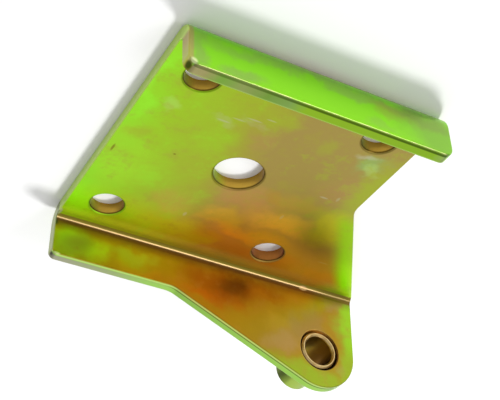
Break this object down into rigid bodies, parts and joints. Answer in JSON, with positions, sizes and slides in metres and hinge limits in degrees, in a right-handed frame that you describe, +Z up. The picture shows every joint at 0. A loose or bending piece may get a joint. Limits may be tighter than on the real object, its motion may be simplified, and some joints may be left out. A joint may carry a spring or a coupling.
{
  "type": "leaf spring plate",
  "caption": "Folded steel channel plate that clamps a leaf spring under U-bolts and holds a shock absorber's lower bolt in a bushed ear.",
  "frame": {"origin": "centre of the middle hole on the plate's underside, which lies on z = 0", "axes": "+X along the two folds towards the ear, +Y from the ear flange to the plain flange, +Z up between the flanges"},
  "size_m": [0.1051, 0.1091, 0.0393],
  "materials": {
    "yellow_zinc_plate": "pressed sheet steel, zinc plated with an iridescent yellow-green passivate",
    "yellow_zinc_bush": "steel tube, zinc plated with a brassy yellow passivate"
  },
  "bodies": {
    "root": {"folded_plate": "yellow_zinc_plate", "shock_bush": "yellow_zinc_bush"}
  },
  "joints": []
}
